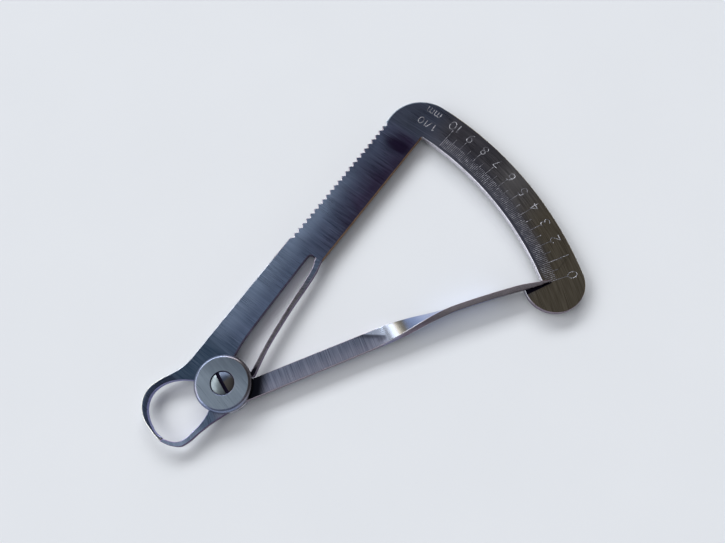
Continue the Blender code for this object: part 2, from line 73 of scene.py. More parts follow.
SWEEP_DEGREES = HINGES["lever_hinge"]["range_deg"][1]

# Scale and arc
ZERO_DEGREES = -35.5
ARC_INNER_RADIUS = 0.0777
ARC_OUTER_RADIUS = 0.0876
TICK_DEPTH = 0.00012
SCALE_UNITS = 10
DIGIT_HEIGHT = 0.0023
DIGIT_RADIUS = 0.0851
UNIT_PLACE = (0.0850, 0.0017)
UNIT_HEIGHT = 0.0020
DIVISION_PLACE = (0.0815, 0.0012)
DIVISION_HEIGHT = 0.0019
GROOVE = 0.00008
GROOVE_DEPTH_SHARE = 0.55
BOW_STEPS = 14

# Materials of a piece, in their order; a recess is the disc's third and a slot the screw's second
FACE, EDGE, WALL, LINE, FIGURE = range(5)
RECESS = 2
SLOT = 1

# Slopes as a share of a face's normal or an edge's heading, and turns between faces in degrees
FLAT_SHARE = 0.999
LEVEL_SHARE = 0.995
RIM_SHARE = 0.05
STEP_SHARE = 0.98
STEEP_SHARE = 0.9
JOIN_DEGREES = 0.05
CREASE_DEGREES = 35
SHARP_DEGREES = 50

# Rims, the radius that the disc covers, the leaf's root and the foot's step
RIM = 0.00013
RIM_STEPS = 3
BLADE_RIM = 0.0001
BLADE_RIM_SHARE = 0.3
EYE_COVER = 0.0052
SLOT_END = 0.0364
SLOT_SIDE = 0.0017
STEP_START = ARC_INNER_RADIUS - 0.006
STEP_LEVEL = -0.0425
STEP_REACH = 0.002
STEP_GAP = 0.00007
STEP_CUTS = 6

# Points closer than WELD are one; levels and places closer than NEAR count as the same
WELD = 0.000001
NEAR = 0.00002

# Pointer arm and its twisted blade
ARM_DEGREES = -30.75
ARM_WIDTH = 0.0042
ARM_OFFSET = 0.0034
TIP_RADIUS = 0.0796
STEP_RADIUS = 0.0774
TWIST_LENGTH = 0.0210
TWIST_DEGREES = 82
TWIST_EASE_SHARE = 0.35
BLADE_RISE_LENGTH = 0.0080
BLADE_END_LENGTH = 0.0166
BLADE_LIFT = 0.0009
BLADE_STEPS = 120
BLADE_END_STEPS = 24
BROAD_SHARES = (0.02, 0.15, 0.3, 0.5, 0.7, 0.85, 0.98)
BLADE_THICKNESS = 0.00135
BLADE_HEIGHT = 0.0040
BLADE_END_HEIGHT = 0.0030
TIP_TAPER_LENGTH = 0.0045
TIP_ROOT_THICKNESS = 0.00085
TIP_THICKNESS = 0.00025
TIP_HEIGHT = 0.0004
TIP_GAP = 0.0003
BLADE_CREST_RADIUS = TIP_RADIUS - BLADE_END_LENGTH
TWIST_START = BLADE_CREST_RADIUS - BLADE_RISE_LENGTH - TWIST_LENGTH
SEAM = TWIST_START - 0.002

# Outer corner, and the inside of the jaws, as circles
CORNER_RADIUS = 0.0096
CORNER_CENTRE = (0.0780, 0.0005)
JAW_RADIUS = 0.0073
JAW_CENTRE = (-0.0102, 0.0049)

# Turned pieces
DISC_EDGE = 0.0009
DISC_BORE = 0.00274
DISC_RECESS = 0.0011
SHANK_HOLE = 0.0017
NUT_FLANGE = 0.0012
NUT_BARREL = 0.0026
NUT_BORE_FLOOR = 0.0006
NUT_LIP = 0.0003
SHARP_LIP = 0.00007
HEAD_RISE = 0.0006
HEAD_BACK = 0.0042
SCREW_SHANK = 0.0014
SLOT_WIDTH = 0.0008
SLOT_DEPTH = 0.0007
SLOT_DEGREES = 68
TURNED_STEPS = 128
SCREW_STEPS = 96

# Stage: a floor, a dome as (sine of elevation, brightness), and lamps that face one point
FLOOR_HALF = 4.5
FLOOR_GAP = 0.00005
DOME = ((0.0, 0.72), (0.20, 0.66), (0.42, 0.40), (0.60, 0.13),
        (0.80, 0.12), (0.93, 0.42), (1.0, 0.50))
DOME_BLUE_SHARE = 1.03
DOME_AT_JAWS, DOME_AT_ARC = 1.35, 0.65
LAMP_AIM = Vector((0.03, -0.01, 0))
LAMP_DISTANCE = 12.0

# Camera
CAMERA_PLACE = Vector((0.00238, -0.04069, 0.16207))
CAMERA_DEGREES = (17.1975, 0.8775, -53.0571)
CAMERA_LENS = 34.758


def direction(degrees):
    return Vector((math.cos(math.radians(degrees)), math.sin(math.radians(degrees)), 0))


def add_object(name, data):
    item = bpy.data.objects.new(name, data)
    bpy.context.scene.collection.objects.link(item)
    return item


def evaluated_mesh(item):
    """A new mesh of what an object comes out as."""
    bpy.context.view_layer.update()
    graph = bpy.context.evaluated_depsgraph_get()
    return bpy.data.meshes.new_from_object(item.evaluated_get(graph))


class Finish:
    """A metal node material, with its place on the object and short calls for its nodes."""

    def __init__(self, name):
        self.material = bpy.data.materials.new(name)
        self.material.use_nodes = True
        self.tree = self.material.node_tree
        self.shader = self.tree.nodes["Principled BSDF"]
        self.shader.inputs["Metallic"].default_value = 1
        self.place = self.add("ShaderNodeTexCoord").outputs["Object"]
        self.x, self.y, self.z = self.split(self.place)

    def add(self, kind, **settings):
        node = self.tree.nodes.new(kind)
        for key, value in settings.items():
            setattr(node, key, value)
        return node

    def set(self, socket, value):
        if isinstance(value, bpy.types.NodeSocket):
            self.tree.links.new(value, socket)
        else:
            socket.default_value = value

    def calc(self, operation, *values):
        node = self.add("ShaderNodeMath", operation=operation)
        for socket, value in zip(node.inputs, values):
            self.set(socket, value)
        return node.outputs[0]

    def split(self, vector):
        node = self.add("ShaderNodeSeparateXYZ")
        self.set(node.inputs[0], vector)
        return node.outputs

    def join(self, x, y, z):
        node = self.add("ShaderNodeCombineXYZ")
        for socket, value in zip(node.inputs, (x, y, z)):
            self.set(socket, value)
        return node.outputs[0]

    def product(self, first, *others):
        for other in others:
            first = self.calc("MULTIPLY", first, other)
        return first

    def distance(self, centre=(0, 0)):
        """How far the place is from a centre of the plate."""
        node = self.add("ShaderNodeVectorMath", operation="DISTANCE")
        self.set(node.inputs[0], self.join(self.x, self.y, 0))
        self.set(node.inputs[1], (*centre, 0))
        return node.outputs["Value"]

    def towards(self, degrees):
        """How far the place lies in a direction of the plate."""
        way = direction(degrees)
        return self.calc("ADD", self.product(self.x, way.x), self.product(self.y, way.y))

    def noise(self, vector, scale, detail):
        """Noise with its own scale per metre along each axis."""
        scaled = self.add("ShaderNodeVectorMath", operation="MULTIPLY")
        self.set(scaled.inputs[0], vector)
        self.set(scaled.inputs[1], scale)
        node = self.add("ShaderNodeTexNoise")
        self.set(node.inputs["Vector"], scaled.outputs[0])
        node.inputs["Scale"].default_value = 1
        node.inputs["Detail"].default_value = detail
        return node.outputs["Fac"]

    def speckle(self, scale, detail):
        """Noise that is alike in all directions of the object."""
        return self.noise(self.place, (scale, scale, scale), detail)

    def span(self, value, low, high, to_low=0.0, to_high=1.0, smooth=False):
        """Map low..high to to_low..to_high, and hold the ends outside it."""
        node = self.add("ShaderNodeMapRange", clamp=True)
        if smooth:
            node.interpolation_type = "SMOOTHSTEP"
        for socket, item in zip(node.inputs, (value, low, high, to_low, to_high)):
            self.set(socket, item)
        return node.outputs[0]

    def mix(self, share, low, high):
        """Colour between low and high."""
        node = self.add("ShaderNodeMix", data_type="RGBA")
        self.set(node.inputs[0], share)
        for socket, item in zip(node.inputs[6:8], (low, high)):
            self.set(socket, (*item, 1) if isinstance(item, tuple) else item)
        return node.outputs[2]

    def zoned(self, colour, zones):
        """Lay other colours over a colour, each through its mask."""
        for mask, other in zones:
            colour = self.mix(mask(self), colour, other)
        return colour

    def layers(self, colour, share, rows):
        """Lay zones over a colour, each a row of (place, start, full, dark, light).

        Along its place a zone grows from start to full, and the share takes it from dark to light.
        """
        for place, start, full, dark, light in rows:
            zone = self.span(place, start, full, smooth=True)
            colour = self.mix(zone, colour, self.mix(share, dark, light))
        return colour

    def bump(self, height, distance, strength=1.0):
        node = self.add("ShaderNodeBump")
        node.inputs["Strength"].default_value = strength
        node.inputs["Distance"].default_value = distance
        self.set(node.inputs["Height"], height)
        self.set(self.shader.inputs["Normal"], node.outputs[0])

    def finish(self, colour, roughness):
        self.set(self.shader.inputs["Base Color"], colour)
        self.set(self.shader.inputs["Roughness"], roughness)
        return self.material


def ground(name, grain, tint, rough=(0.24, 0.44), polish=None):
    """Ground steel: grain gives the coordinates across and along the lines, and tint the colours.

    A polish mask smooths the lines away where it is 1.
    """
    f = Finish(name)
    lines = grain(f)
    fine = f.noise(lines, (9000, 140, 400), 3)
    middle = f.noise(lines, (5000, 150, 300), 1)
    coarse = f.noise(lines, (1400, 55, 90), 2)
    blotch = f.speckle(160, 3)
    streak = f.calc("ADD", f.calc("MULTIPLY", fine, 0.3), f.calc("MULTIPLY", coarse, 0.25))
    streak = f.calc("ADD", streak, f.calc("MULTIPLY", middle, 0.45))
    share = f.span(streak, 0.37, 0.63)
    colour = tint(f, share, blotch)
    roughness = f.span(f.calc("ADD", fine, f.calc("MULTIPLY", blotch, 0.5)), 0.5, 1.0, *rough)
    scratch = f.noise(f.place, (2400, 54, 400), 1)
    height = f.calc("ADD", f.calc("MULTIPLY", fine, 0.7), f.calc("MULTIPLY", scratch, 0.3))
    if polish:
        mask = polish(f)
        height = f.calc("MULTIPLY", height, f.span(mask, 0, 1, 1.0, 0.12))
        roughness = f.span(mask, 0, 1, roughness, 0.27)
    f.bump(height, 0.000004)
    return f.finish(colour, roughness)


def arc_grain(f):
    """Lines run round the pivot."""
    turn = f.calc("MULTIPLY", f.calc("ARCTAN2", f.y, f.x), ARC_OUTER_RADIUS)
    return f.join(f.distance(), turn, f.z)


def plate_grain(f):
    """Across the bar up to the corner, and round the pivot beyond it."""
    node = f.add("ShaderNodeMix", data_type="VECTOR")
    f.set(node.inputs[0], f.span(f.y, 0.001, -0.003, smooth=True))
    for socket, item in zip(node.inputs[4:6], (f.place, arc_grain(f))):
        f.set(socket, item)
    return node.outputs[1]


def turned_grain(degrees):
    """Lines run across the given direction in the plate."""
    def grain(f):
        node = f.add("ShaderNodeVectorRotate", rotation_type="Z_AXIS")
        f.set(node.inputs["Vector"], f.place)
        node.inputs["Angle"].default_value = math.radians(-degrees)
        return node.outputs[0]
    return grain


def plate_tint(f, share, blotch):
    """The bar's colours, the arc's beyond the corner, and a painted shadow on the foot beside its
    step.
    """
    colour = f.mix(f.span(f.y, 0.002, -0.006, smooth=True), bar_tint(f, share), arc_tint(f, share))
    # The near black over the foot is the painted shadow of the pointer beside the step
    return f.mix(step_grime(f), colour, (0.006, 0.005, 0.012))


def bar_tint(f, share):
    """Blue-grey on the bar, with painted reflection lighter towards its teeth and dark purple along
    its lower edge.
    """
    # Painted reflection: lighter towards the teeth
    reflection_by_teeth = (f.y, 0.0045, 0.0092, (0.16, 0.215, 0.32), (0.225, 0.29, 0.415))
    far_half = (f.x, 0.046, 0.064, (0.052, 0.066, 0.112), (0.088, 0.106, 0.168))
    at_corner = (f.x, 0.0745, 0.0785, (0.038, 0.045, 0.07), (0.066, 0.078, 0.115))
    # Painted shade on the bar beside the disc
    shade_beside_disc = (f.x, 0.0125, 0.003, (0.020, 0.044, 0.080), (0.088, 0.125, 0.19))
    on_jaw = (f.x, -0.007, -0.012, (0.065, 0.10, 0.16), (0.125, 0.18, 0.28))
    bar = f.mix(share, (0.085, 0.12, 0.195), (0.135, 0.175, 0.275))
    bar = f.layers(bar, share, (reflection_by_teeth, far_half))
    # Painted darker reflection: a purple band along the lower edge and a near-black spot at its end
    purple = f.mix(share, (0.020, 0.013, 0.036), (0.042, 0.032, 0.068))
    bar = f.mix(dark_band(f, share), bar, purple)
    bar = f.mix(dark_spot(f, share), bar, (0.010, 0.005, 0.02))
    bar = f.layers(bar, share, (at_corner, shade_beside_disc, on_jaw))
    bar = f.mix(jaw_shade(f), bar, (0.02, 0.022, 0.045))
    # Painted highlight on the face along the corner's outer edge
    return f.mix(corner_edge(f), bar, f.mix(share, (0.22, 0.30, 0.38), (0.40, 0.50, 0.60)))


def arc_tint(f, share):
    """Dark at the top of the scale, brownish towards the foot and bluer along the inner edge."""
    middle = (f.y, -0.014, -0.026, (0.085, 0.082, 0.085), (0.155, 0.15, 0.155))
    foot = (f.y, -0.026, -0.038, (0.09, 0.077, 0.056), (0.165, 0.145, 0.112))
    arc = f.layers(f.mix(share, (0.04, 0.04, 0.05), (0.08, 0.077, 0.09)), share, (middle, foot))
    inner = f.product(f.span(f.distance(), 0.0832, 0.0785, smooth=True),
                      f.span(f.y, -0.046, -0.040, smooth=True))
    return f.mix(inner, arc, f.mix(share, (0.062, 0.065, 0.090), (0.115, 0.122, 0.158)))


def dark_band(f, share):
    """Painted darker reflection in a band along the bar's lower edge, which fades raggedly towards
    the teeth.
    """
    sway = f.span(f.noise(f.place, (260, 90, 100), 4), 0.3, 0.7, -0.0018, 0.0018)
    stretch = f.product(f.span(f.x, 0.028, 0.052, smooth=True),
                        f.span(f.x, 0.0795, 0.0745, smooth=True))
    fade = f.span(f.calc("ADD", f.y, sway), 0.0085, 0.0015)
    return f.product(stretch, fade, f.span(share, 0, 1, 1.0, 0.86))


def dark_spot(f, share):
    """Painted darker reflection in an oval spot at the end of the band, drawn out along the
    grinding lines.
    """
    centre_x, centre_y = 0.0722, 0.0036
    half_width, half_length = 1 / 350, 1 / 185
    streak = f.calc("ADD", f.noise(f.place, (1300, 60, 60), 2), share)
    sway = f.calc("MULTIPLY", f.calc("SUBTRACT", streak, 1), 0.0032)
    across = f.calc("DIVIDE", f.calc("SUBTRACT", f.x, centre_x), half_width)
    along = f.calc("DIVIDE", f.calc("SUBTRACT", f.calc("ADD", f.y, sway), centre_y), half_length)
    reach = f.calc("SQRT", f.calc("ADD", f.product(across, across), f.product(along, along)))
    return f.span(reach, 1.05, 0.35, 0.0, 0.92, smooth=True)


def jaw_shade(f):
    """The face of the upper jaw along its inner edge."""
    near = f.span(f.distance(JAW_CENTRE), JAW_RADIUS + 0.0012, JAW_RADIUS + 0.0004, 0.0, 0.7)
    return f.product(near, f.span(f.x, -0.0045, -0.0065))


def corner_edge(f):
    """Painted highlight along the outer edge of the corner, from its last tooth to the start of the
    arc.
    """
    depth = 0.0004
    near = f.span(f.distance(CORNER_CENTRE), CORNER_RADIUS - depth, CORNER_RADIUS - 0.3 * depth)
    return f.product(near, f.span(f.x, CORNER_CENTRE[0] - 0.004, CORNER_CENTRE[0] - 0.003),
                     f.span(f.y, CORNER_CENTRE[1] + 0.0015, CORNER_CENTRE[1] + 0.004))


def step_grime(f):
    """Painted shadow on the foot's front, narrowing outwards along the step where the pointer
    rests.
    """
    along = f.towards(ZERO_DEGREES)
    width = f.span(along, 0.0728, 0.0800, 0.0015, 0.0004)
    depth = f.calc("DIVIDE", f.towards(ZERO_DEGREES - 90), width)
    return f.product(f.span(depth, 1.0, 0.86, smooth=True), f.span(depth, -0.1, -0.02),
                     f.span(along, 0.0802, 0.0793, smooth=True), f.span(along, 0.070, 0.071),
                     f.span(f.z, 0.0020, 0.0026))


def arm_place(f):
    """The place along the pointer arm, and across it."""
    return f.split(turned_grain(ARM_DEGREES)(f))[:2]


def arm_tint(f, share, blotch):
    """Purple-grey, lighter along the lower edge and bluer on the jaw; painted shadow by the disc
    and near the tip, and painted shade, a painted highlight and pale painted reflections on the
    polished twist.
    """
    u, v = arm_place(f)
    arm = f.mix(share, (0.12, 0.145, 0.215), (0.26, 0.29, 0.39))
    lower_side = (v, -0.0022, -0.0052, (0.20, 0.21, 0.29), (0.34, 0.36, 0.46))
    arm = f.layers(arm, share, (lower_side,))
    # Painted shade on the jaw beside the disc
    shade_beside_disc = (f.distance(), 0.0128, 0.0098, (0.075, 0.11, 0.175), (0.145, 0.20, 0.30))
    jaw = f.layers(f.mix(share, (0.17, 0.22, 0.32), (0.29, 0.36, 0.50)), share, (shade_beside_disc,))
    arm = f.mix(f.span(u, -0.002, -0.005), arm, jaw)
    # Painted shade where the polish of the twist begins
    onset = twist_onset(f, u, v)
    shade = f.product(f.span(onset, -0.0032, -0.0010, smooth=True),
                      f.span(v, -0.0051, -0.0040, smooth=True), 0.6)
    arm = f.mix(shade, arm, (0.03, 0.035, 0.05))
    # Painted highlight on the twist, then painted reflections in grey, cream, lavender and pale
    # bands
    bright = (onset, -0.0006, 0.0008, (0.60, 0.69, 0.88), (0.70, 0.79, 0.98))
    grey = (u, 0.0378, 0.0390, (0.16, 0.18, 0.22), (0.20, 0.22, 0.27))
    cream = (u, 0.0403, 0.0418, (0.15, 0.145, 0.13), (0.19, 0.18, 0.16))
    lavender = (u, 0.0428, 0.0445, (0.24, 0.31, 0.50), (0.29, 0.36, 0.56))
    pale = (u, 0.0455, 0.0485, (0.34, 0.40, 0.62), (0.40, 0.47, 0.70))
    arm = f.layers(arm, blotch, (bright, grey, cream, lavender, pale))
    # Painted shadow on the blade towards its tip
    arm = f.mix(f.product(f.span(u, 0.064, 0.070, smooth=True), 0.95), arm, (0.012, 0.010, 0.025))
    # Painted shadow of the disc on the arm's root
    slanted = f.calc("ADD", u, f.calc("MULTIPLY", v, -0.5))
    root = f.product(f.span(slanted, 0.0122, 0.0088, smooth=True), f.span(u, 0.0, 0.004))
    return f.mix(root, arm, (0.008, 0.009, 0.014))


def twist_onset(f, u, v):
    """Distance past the slanted line where the polish and the painted highlight begin, earlier at
    the arm's upper edge.
    """
    return f.calc("SUBTRACT", u, f.span(v, -0.0013, -0.0036, 0.0334, 0.0385))


def arm_polish(f):
    """1 where the twist is polished."""
    u, v = arm_place(f)
    return f.span(twist_onset(f, u, v), -0.001, 0.001, smooth=True)


def leaf_tint(f, share, blotch):
    """Dark brown-grey, black with painted shadow beside the disc, and blue-grey at the root."""
    root = (f.x, 0.026, 0.035, (0.085, 0.115, 0.18), (0.14, 0.18, 0.27))
    leaf = f.layers(f.mix(share, (0.09, 0.085, 0.095), (0.19, 0.18, 0.20)), share, (root,))
    # Painted shadow of the disc over the leaf's tip
    return f.mix(f.span(f.x, 0.0085, 0.0068, smooth=True), leaf, (0.01, 0.01, 0.016))


def disc_tint(f, share, blotch):
    """Light grey, a little darker on the side of the scale."""
    towards_scale = f.calc("ADD", f.calc("MULTIPLY", f.x, 0.8), f.calc("MULTIPLY", f.y, 0.35))
    patchy = f.calc("ADD", towards_scale, f.span(blotch, 0.3, 0.7, -0.0015, 0.0015))
    light = f.mix(share, (0.25, 0.31, 0.385), (0.32, 0.39, 0.47))
    darker = (patchy, -0.001, 0.0045, (0.155, 0.195, 0.25), (0.205, 0.255, 0.315))
    return f.layers(light, share, (darker,))


def rim_finish(name, colour, zones=()):
    """Deburred edge with small nicks and dull spots; zones are masks with other colours."""
    f = Finish(name)
    nick = f.speckle(1500, 3)
    dull = f.speckle(260, 2)
    colour = f.mix(f.span(dull, 0.35, 0.6, 0.35, 0.0), f.zoned(colour, zones), (0.02, 0.02, 0.03))
    f.bump(nick, 0.000003, 0.6)
    return f.finish(colour, f.span(nick, 0.3, 0.7, 0.24, 0.42))


def wall_finish(name, colour, zones=()):
    """Cut wall, matt, with faint lines along the sheet and fine specks; zones as on the rims."""
    f = Finish(name)
    layer = f.noise(f.place, (600, 600, 12000), 2)
    patch = f.speckle(900, 3)
    speck = f.speckle(5200, 1)
    worn = f.calc("ADD", f.span(patch, 0.3, 0.7, 0.15, 0.0), f.span(speck, 0.4, 0.6, 0.25, 0.0))
    colour = f.mix(worn, f.zoned(colour, zones), (0.02, 0.02, 0.03))
    f.bump(layer, 0.000004, 0.7)
    return f.finish(colour, f.span(layer, 0.3, 0.7, 0.42, 0.6))


def box_mask(f, low_x, high_x, low_y, high_y):
    """1 inside a rectangle of the plate, with soft edges."""
    soft = 0.0003
    return f.product(f.span(f.x, low_x, low_x + soft), f.span(f.x, high_x, high_x - soft),
                     f.span(f.y, low_y, low_y + soft), f.span(f.y, high_y, high_y - soft))


def outer_side(f):
    """The outer side of the arc and foot."""
    arc = f.product(f.span(f.y, -0.0005, -0.003), f.span(f.distance(), 0.0852, 0.0862))
    foot = f.product(f.span(f.y, -0.0500, -0.0515), f.span(f.x, 0.066, 0.072))
    return f.calc("MAXIMUM", arc, foot)


def inner_arc(f):
    """The arc's inner edge, down to the foot's step."""
    past_step = f.towards(ZERO_DEGREES + 90)
    return f.product(f.span(f.y, -0.001, -0.003), f.span(past_step, -0.0006, 0.0),
                     f.span(f.distance(), 0.0792, 0.0788))


def foot_side(f):
    """The sides of the foot."""
    return f.span(f.y, -0.043, -0.046)


def lower_edge(f):
    """The bar's lower edge between the slot and the corner."""
    return box_mask(f, 0.033, 0.079, 0.0, 0.0007)


def slot_side(f):
    """The slot beside the leaf."""
    return box_mask(f, 0.004, 0.0369, -0.005, 0.0042)


def tooth_side(f):
    """The bar's toothed edge."""
    return box_mask(f, 0.030, 0.0745, 0.0091, 0.012)


def in_jaws(f):
    """The inner side of both jaws."""
    return f.span(f.distance(JAW_CENTRE), JAW_RADIUS + 0.0002, JAW_RADIUS)


def beside_jaws(f, start, full):
    """The outer side of the jaws, from one place on along the bar's line."""
    return f.product(f.calc("SUBTRACT", 1, in_jaws(f)), f.span(f.x, start, full))


def above_jaws(f):
    """The outer side of the upper jaw."""
    return beside_jaws(f, -0.006, -0.009)


def below_jaws(f):
    """The outer side of the lower jaw."""
    return beside_jaws(f, -0.001, -0.004)


def past_on_arm(start, full, smooth=True):
    """Mask of the pointer beyond a place along its arm."""
    def mask(f):
        return f.span(arm_place(f)[0], start, full, smooth=smooth)
    return mask


ON_TWIST = past_on_arm(0.035, 0.038, smooth=False)
ON_TWIST_END = past_on_arm(0.0395, 0.0430)
ON_BLADE = past_on_arm(0.047, 0.052)


def mark_finish(name, dark, light, worn):
    """Engraved line: light, finely rough metal, worn back to the dark colour here and there."""
    f = Finish(name)
    grit = f.speckle(5000, 2)
    wear = f.span(f.speckle(900, 2), 0.42, 0.58, 1 - worn, 1.0)
    f.bump(grit, 0.000006, 0.5)
    return f.finish(f.mix(f.calc("MULTIPLY", wear, f.span(grit, 0.3, 0.6)), dark, light),
                    f.span(grit, 0.3, 0.7, 0.35, 0.6))


def plain_dark(name, colour, rough):
    """Dark metal inside a slot or a recess: painted shade."""
    f = Finish(name)
    grit = f.speckle(3000, 2)
    f.bump(grit, 0.000005, 0.5)
    return f.finish(f.mix(grit, tuple(0.5 * value for value in colour), colour),
                    f.span(grit, 0.3, 0.7, rough, rough + 0.2))


def facing(degrees):
    """Mask of the side of a turned piece that faces a direction of the plate, for painted light and
    shade on that side.
    """
    def mask(f):
        share = f.calc("DIVIDE", f.towards(degrees), f.distance())
        return f.span(share, 0.35, 0.9, smooth=True)
    return mask


# Colours of edges and walls where they differ, laid over one another, some of them painted light
# and shade
FRAME_RIM_ZONES = (
    (foot_side, (0.40, 0.34, 0.40)),
    (outer_side, (0.28, 0.22, 0.14)),
    (lower_edge, (0.26, 0.16, 0.10)),
    # Painted highlight on the arc's inner rim
    (inner_arc, (0.86, 0.86, 0.95)),
    (slot_side, (0.15, 0.13, 0.20)),
    (tooth_side, (0.36, 0.33, 0.37)),
    # Painted highlight on the upper jaw's outer rim
    (above_jaws, (0.92, 0.93, 0.88)),
    (in_jaws, (0.36, 0.37, 0.64)),
)
FRAME_WALL_ZONES = (
    (foot_side, (0.30, 0.25, 0.32)),
    (outer_side, (0.30, 0.22, 0.13)),
    (lower_edge, (0.34, 0.20, 0.11)),
    # Painted highlight on the arc's inner wall
    (inner_arc, (0.92, 0.90, 0.97)),
    (slot_side, (0.17, 0.14, 0.22)),
    (tooth_side, (0.34, 0.30, 0.34)),
    (in_jaws, (0.36, 0.38, 0.68)),
)
LEVER_RIM_ZONES = (
    (ON_TWIST, (0.80, 0.80, 0.88)),
    (ON_BLADE, (0.09, 0.055, 0.07)),
    (below_jaws, (0.20, 0.15, 0.28)),
    (in_jaws, (0.44, 0.43, 0.66)),
)
LEVER_WALL_ZONES = (
    (ON_TWIST, (0.38, 0.38, 0.56)),
    (ON_TWIST_END, (0.25, 0.21, 0.26)),
    (ON_BLADE, (0.29, 0.265, 0.29)),
    (below_jaws, (0.14, 0.10, 0.20)),
    (in_jaws, (0.36, 0.36, 0.62)),
)
# Painted light and shade on the disc's rounded edge, a colour for each side it faces
DISC_EDGE_PAINTED_LIGHT = (
    (facing(80), (0.16, 0.19, 0.27)),
    (facing(-28), (0.12, 0.11, 0.12)),
    (facing(-150), (0.19, 0.23, 0.35)),
)
# Painted shade on the screw's head, darker on the sides that face these directions
SCREW_PAINTED_SHADE = (
    (facing(15), (0.06, 0.075, 0.11)),
    (facing(-65), (0.11, 0.105, 0.10)),
)


def polished(name, dark, light, rough=(0.12, 0.26), zones=()):
    """Polished steel with faint turning marks round the pivot axis."""
    f = Finish(name)
    rings = f.noise(arc_grain(f), (9000, 60, 3000), 2)
    haze = f.speckle(700, 3)
    colour = f.zoned(f.mix(f.span(haze, 0.3, 0.7), dark, light), zones)
    f.bump(rings, 0.000002, 0.6)
    return f.finish(colour, f.span(rings, 0.3, 0.7, *rough))


def node_mesh(node, join=True):
    """Welded copy of a CAD node's mesh, without its stored normals, its flat triangles joined."""
    mesh = frame["nodes"][node].data.copy()
    for name in ("custom_normal", "sharp_edge", "sharp_face"):
        if name in mesh.attributes:
            mesh.attributes.remove(mesh.attributes[name])
    bm = bmesh.new()
    bm.from_mesh(mesh)
    bpy.data.meshes.remove(mesh)
    bmesh.ops.remove_doubles(bm, verts=bm.verts, dist=WELD)
    if join:
        bmesh.ops.dissolve_limit(bm, angle_limit=math.radians(JOIN_DEGREES),
                                 verts=bm.verts, edges=bm.edges)
        return bm
    inside = [edge for edge in bm.edges if all(is_flat(face) for face in edge.link_faces)]
    bmesh.ops.dissolve_edges(bm, edges=inside, use_verts=False)
    return bm


def is_flat(face):
    """True for the sheet's front and back, and for the floor of an engraved line."""
    return abs(face.normal.z) > FLAT_SHARE


def spans_sheet(face):
    """True for a wall that runs through the sheet, not for the side of an engraved line."""
    levels = [vert.co.z for vert in face.verts]
    return max(levels) - min(levels) > 3 * TICK_DEPTH


def middle_of(edge):
    return (edge.verts[0].co + edge.verts[1].co) / 2


def sheet_rims(bm, skip):
    """Edges between the sheet's flat sides and its cut walls."""
    edges = []
    for edge in bm.edges:
        if len(edge.link_faces) != 2 or skip(edge):
            continue
        flats = [face for face in edge.link_faces if is_flat(face)]
        walls = [face for face in edge.link_faces if not is_flat(face)]
        level = middle_of(edge).z
        at_side = min(abs(level - SHEET_FRONT), abs(level - SHEET_BACK)) < NEAR
        if len(flats) == 1 and at_side and spans_sheet(walls[0]):
            edges.append(edge)
    return edges


def round_rims(bm, edges, size):
    """Round edges off, and give the new faces."""
    made = bmesh.ops.bevel(bm, geom=edges, offset=size, offset_type="OFFSET", segments=RIM_STEPS,
                           profile=0.5, affect="EDGES", clamp_overlap=False, loop_slide=True,
                           material=-1)
    return made["faces"]


def add_piece(name, bm, node, materials):
    """Turn a bmesh into the piece that stands for a CAD node."""
    mesh = bpy.data.meshes.new(name)
    bm.to_mesh(mesh)
    bm.free()
    for item in materials:
        mesh.materials.append(item)
    piece = add_object(name, mesh)
    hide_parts(node)
    return piece


def shade(mesh):
    """Smooth walls and rims, with a crease where the flat sides meet them."""
    mesh.shade_smooth()
    bm = bmesh.new()
    bm.from_mesh(mesh)
    for edge in bm.edges:
        if len(edge.link_faces) == 2:
            a, b = edge.link_faces
            turn = a.normal.angle(b.normal, 0)
            meets_flat = is_flat(a) != is_flat(b) and a.material_index != b.material_index
            edge.smooth = turn < math.radians(CREASE_DEGREES) and not meets_flat
    bm.to_mesh(mesh)
    bm.free()


def sheet_slots(bm):
    """Give each face of a sheet piece its material."""
    for face in bm.faces:
        high = max(vert.co.z for vert in face.verts)
        if is_flat(face):
            sunk = SHEET_FRONT - 2 * TICK_DEPTH < high < SHEET_FRONT - NEAR
            face.material_index = LINE if sunk else FACE
        elif abs(face.normal.z) > RIM_SHARE:
            face.material_index = EDGE
        else:
            face.material_index = WALL if spans_sheet(face) else LINE


def bow(x, y, across, up, start, end):
    """Points of an oval arc between two angles in degrees."""
    turns = [math.radians(start + (end - start) * i / BOW_STEPS) for i in range(BOW_STEPS + 1)]
    return [(x + across * math.cos(turn), y + up * math.sin(turn)) for turn in turns]


